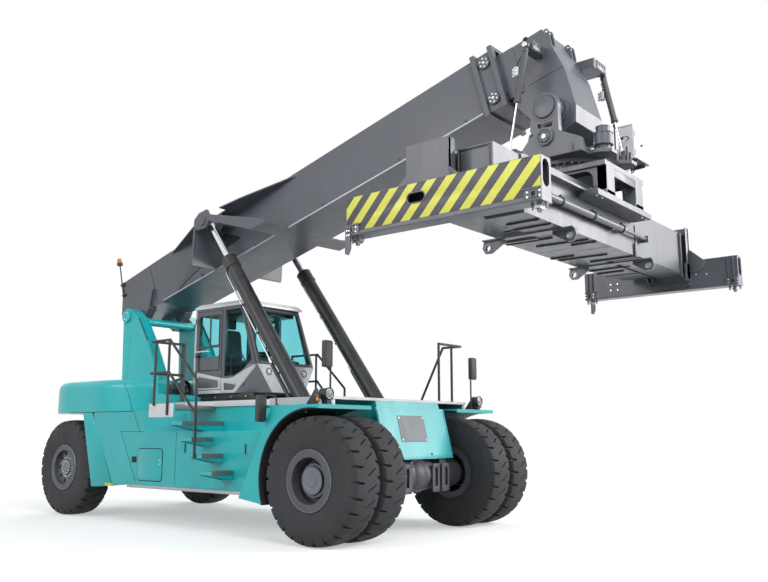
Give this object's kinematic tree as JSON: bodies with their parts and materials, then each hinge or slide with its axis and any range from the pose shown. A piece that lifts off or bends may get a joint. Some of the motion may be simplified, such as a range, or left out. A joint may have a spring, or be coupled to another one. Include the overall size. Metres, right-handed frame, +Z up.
{
  "type": "reach stacker",
  "caption": "Mobile container handler with a telescopic luffing boom, lift cylinders, slewing telescopic spreader with twistlocks, driver's cab and steered rear axle.",
  "frame": {"origin": "on the ground below the middle of the whole machine's box", "axes": "+X forward from the counterweight to the spreader, +Y to the machine's left, +Z up"},
  "size_m": [11.36, 6.103, 6.695],
  "materials": {
    "chassis_paint": "semi-gloss paint",
    "boom_paint": "semi-gloss grey paint",
    "dark_paint": "satin black paint",
    "cab_paint": "gloss silver-white paint",
    "deck_metal": "chequered",
    "tyre_rubber": "matt",
    "rod_chrome": "polished",
    "lock_steel": "cast",
    "window_glass": "tinted",
    "trim_plastic": "textured",
    "seat_fabric": "woven",
    "box_paint": "gloss white paint"
  },
  "bodies": {
    "chassis": {"chassis_frame": "chassis_paint", "front_panel": "chassis_paint", "deck": "deck_metal", "side_tanks": "chassis_paint", "sill_rails": "deck_metal", "front_fenders": "chassis_paint", "rear_fenders": "chassis_paint", "counterweight": "chassis_paint", "engine_block": "dark_paint", "engine_hood": "chassis_paint", "boom_tower": "chassis_paint", "steps": "chassis_paint", "handrails": "chassis_paint", "front_axle": "dark_paint", "rear_axle": "dark_paint", "headlamps": "trim_plastic", "mirrors": "trim_plastic", "cab_base": "cab_paint", "cab_frame": "cab_paint", "cab_roof": "cab_paint", "cab_windows": "window_glass", "cab_seat": "seat_fabric", "steering_column": "trim_plastic"},
    "front_wheels_right": {"front_tyres_right": "tyre_rubber", "front_rims_right": "dark_paint"},
    "front_wheels_left": {"front_tyres_left": "tyre_rubber", "front_rims_left": "dark_paint"},
    "knuckle_right": {"knuckle_right": "dark_paint"},
    "rear_wheel_right": {"rear_tyre_right": "tyre_rubber", "rear_rim_right": "dark_paint"},
    "knuckle_left": {"knuckle_left": "dark_paint"},
    "rear_wheel_left": {"rear_tyre_left": "tyre_rubber", "rear_rim_left": "dark_paint"},
    "cab_door_right": {"cab_door_right": "cab_paint", "door_window_right": "window_glass"},
    "cab_door_left": {"cab_door_left": "cab_paint", "door_window_left": "window_glass"},
    "boom": {"boom_outer": "boom_paint"},
    "boom_extension": {"boom_inner": "boom_paint", "boom_head": "boom_paint"},
    "lift_tube_right": {"lift_tube_right": "dark_paint"},
    "lift_rod_right": {"lift_rod_right": "rod_chrome"},
    "lift_tube_left": {"lift_tube_left": "dark_paint"},
    "lift_rod_left": {"lift_rod_left": "rod_chrome"},
    "hanger": {"hanger_yoke": "boom_paint", "slew_motor": "dark_paint", "control_box": "box_paint"},
    "damper_tube_right": {"damper_tube_right": "dark_paint"},
    "damper_rod_right": {"damper_rod_right": "rod_chrome"},
    "damper_tube_left": {"damper_tube_left": "dark_paint"},
    "damper_rod_left": {"damper_rod_left": "rod_chrome"},
    "gantry": {"gantry": "boom_paint"},
    "spreader": {"spreader_frame": "boom_paint"},
    "spreader_arm_right": {"spreader_arm_right": "boom_paint"},
    "spreader_arm_left": {"spreader_arm_left": "boom_paint"},
    "twistlock_front_right": {"twistlock_front_right": "lock_steel"},
    "twistlock_front_left": {"twistlock_front_left": "lock_steel"},
    "twistlock_rear_right": {"twistlock_rear_right": "lock_steel"},
    "twistlock_rear_left": {"twistlock_rear_left": "lock_steel"}
  },
  "joints": [
    {"name": "front_wheel_spin_right", "type": "hinge", "parent": "chassis", "child": "front_wheels_right", "pos_m": [1.77, -1.5, 0.815], "axis": [0, 1, 0], "continuous": true},
    {"name": "front_wheel_spin_left", "type": "hinge", "parent": "chassis", "child": "front_wheels_left", "pos_m": [1.77, 1.5, 0.815], "axis": [0, 1, 0], "continuous": true},
    {"name": "steer_right", "type": "hinge", "parent": "chassis", "child": "knuckle_right", "pos_m": [-4.53, -1.15, 0.815], "axis": [0, 0, 1], "range_deg": [-45, 45]},
    {"name": "rear_wheel_spin_right", "type": "hinge", "parent": "knuckle_right", "child": "rear_wheel_right", "pos_m": [-4.53, -1.465, 0.815], "axis": [0, 1, 0], "continuous": true},
    {"name": "steer_left", "type": "hinge", "parent": "chassis", "child": "knuckle_left", "pos_m": [-4.53, 1.15, 0.815], "axis": [0, 0, 1], "range_deg": [-45, 45]},
    {"name": "rear_wheel_spin_left", "type": "hinge", "parent": "knuckle_left", "child": "rear_wheel_left", "pos_m": [-4.53, 1.465, 0.815], "axis": [0, 1, 0], "continuous": true},
    {"name": "door_right", "type": "hinge", "parent": "chassis", "child": "cab_door_right", "pos_m": [-2.333, -0.656, 2.8], "axis": [0, 0, -1], "range_deg": [0, 85]},
    {"name": "door_left", "type": "hinge", "parent": "chassis", "child": "cab_door_left", "pos_m": [-2.333, 0.656, 2.8], "axis": [0, 0, 1], "range_deg": [0, 85]},
    {"name": "boom_luff", "type": "hinge", "parent": "chassis", "child": "boom", "pos_m": [-4.26, 0, 3.55], "axis": [0, 1, 0], "range_deg": [-45, 12]},
    {"name": "boom_telescope", "type": "slide", "parent": "boom", "child": "boom_extension", "axis": [0.9659, 0, 0.2588], "range_m": [0, 6]},
    {"name": "lift_tube_swing_right", "type": "hinge", "parent": "chassis", "child": "lift_tube_right", "pos_m": [0.9, -0.87, 1.35], "axis": [0, -1, 0], "range_deg": [-1, 3]},
    {"name": "lift_rod_slide_right", "type": "slide", "parent": "lift_tube_right", "child": "lift_rod_right", "axis": [-0.6008, 0, 0.7994], "range_m": [-0.59, 2.17]},
    {"name": "lift_tube_swing_left", "type": "hinge", "parent": "chassis", "child": "lift_tube_left", "pos_m": [0.9, 0.87, 1.35], "axis": [0, -1, 0], "range_deg": [-1, 3]},
    {"name": "lift_rod_slide_left", "type": "slide", "parent": "lift_tube_left", "child": "lift_rod_left", "axis": [-0.6008, 0, 0.7994], "range_m": [-0.59, 2.17]},
    {"name": "hanger_swing", "type": "hinge", "parent": "boom_extension", "child": "hanger", "pos_m": [4.47, 0, 5.49], "axis": [0, -1, 0], "range_deg": [-60, 30]},
    {"name": "damper_swing_right", "type": "hinge", "parent": "boom_extension", "child": "damper_tube_right", "pos_m": [4.28, -0.725, 6.35], "axis": [0, -1, 0], "range_deg": [-20, 6]},
    {"name": "damper_slide_right", "type": "slide", "parent": "damper_tube_right", "child": "damper_rod_right", "axis": [-0.1988, 0, -0.98], "range_m": [-0.362, 0.104]},
    {"name": "damper_swing_left", "type": "hinge", "parent": "boom_extension", "child": "damper_tube_left", "pos_m": [4.66, 0.725, 6.35], "axis": [0, -1, 0], "range_deg": [-21, 7]},
    {"name": "damper_slide_left", "type": "slide", "parent": "damper_tube_left", "child": "damper_rod_left", "axis": [0.1988, 0, -0.98], "range_m": [-0.063, 0.208]},
    {"name": "spreader_slew", "type": "hinge", "parent": "hanger", "child": "gantry", "pos_m": [4.47, 0, 4.735], "axis": [0, 0, 1], "range_deg": [-195, 105]},
    {"name": "side_shift", "type": "slide", "parent": "gantry", "child": "spreader", "axis": [0, 1, 0], "range_m": [-0.8, 0.8]},
    {"name": "arm_slide_right", "type": "slide", "parent": "spreader", "child": "spreader_arm_right", "axis": [0, -1, 0], "range_m": [0, 3.066]},
    {"name": "arm_slide_left", "type": "slide", "parent": "spreader", "child": "spreader_arm_left", "axis": [0, 1, 0], "range_m": [0, 3.066]},
    {"name": "lock_turn_front_right", "type": "hinge", "parent": "spreader_arm_right", "child": "twistlock_front_right", "pos_m": [5.5995, -2.9265, 3.5], "axis": [0, 0, 1], "range_deg": [0, 90]},
    {"name": "lock_turn_front_left", "type": "hinge", "parent": "spreader_arm_left", "child": "twistlock_front_left", "pos_m": [5.5995, 2.9265, 3.5], "axis": [0, 0, 1], "range_deg": [0, 90]},
    {"name": "lock_turn_rear_right", "type": "hinge", "parent": "spreader_arm_right", "child": "twistlock_rear_right", "pos_m": [3.3405, -2.9265, 3.5], "axis": [0, 0, 1], "range_deg": [0, 90]},
    {"name": "lock_turn_rear_left", "type": "hinge", "parent": "spreader_arm_left", "child": "twistlock_rear_left", "pos_m": [3.3405, 2.9265, 3.5], "axis": [0, 0, 1], "range_deg": [0, 90]}
  ],
  "couplings": [
    {"joint": "steer_left", "follows": "steer_right", "ratio": 1},
    {"joint": "lift_tube_swing_right", "follows": "boom_luff", "ratio": -0.049},
    {"joint": "lift_rod_slide_right", "follows": "boom_luff", "m_per_rad": -2.732},
    {"joint": "lift_tube_swing_left", "follows": "boom_luff", "ratio": -0.049},
    {"joint": "lift_rod_slide_left", "follows": "boom_luff", "m_per_rad": -2.732},
    {"joint": "hanger_swing", "follows": "boom_luff", "ratio": 1},
    {"joint": "damper_swing_right", "follows": "boom_luff", "ratio": 0.409},
    {"joint": "damper_slide_right", "follows": "boom_luff", "m_per_rad": 0.448},
    {"joint": "damper_swing_left", "follows": "boom_luff", "ratio": 0.435},
    {"joint": "damper_slide_left", "follows": "boom_luff", "m_per_rad": -0.252},
    {"joint": "arm_slide_left", "follows": "arm_slide_right", "ratio": 1},
    {"joint": "lock_turn_front_left", "follows": "lock_turn_front_right", "ratio": 1},
    {"joint": "lock_turn_rear_right", "follows": "lock_turn_front_right", "ratio": 1},
    {"joint": "lock_turn_rear_left", "follows": "lock_turn_front_right", "ratio": 1}
  ]
}
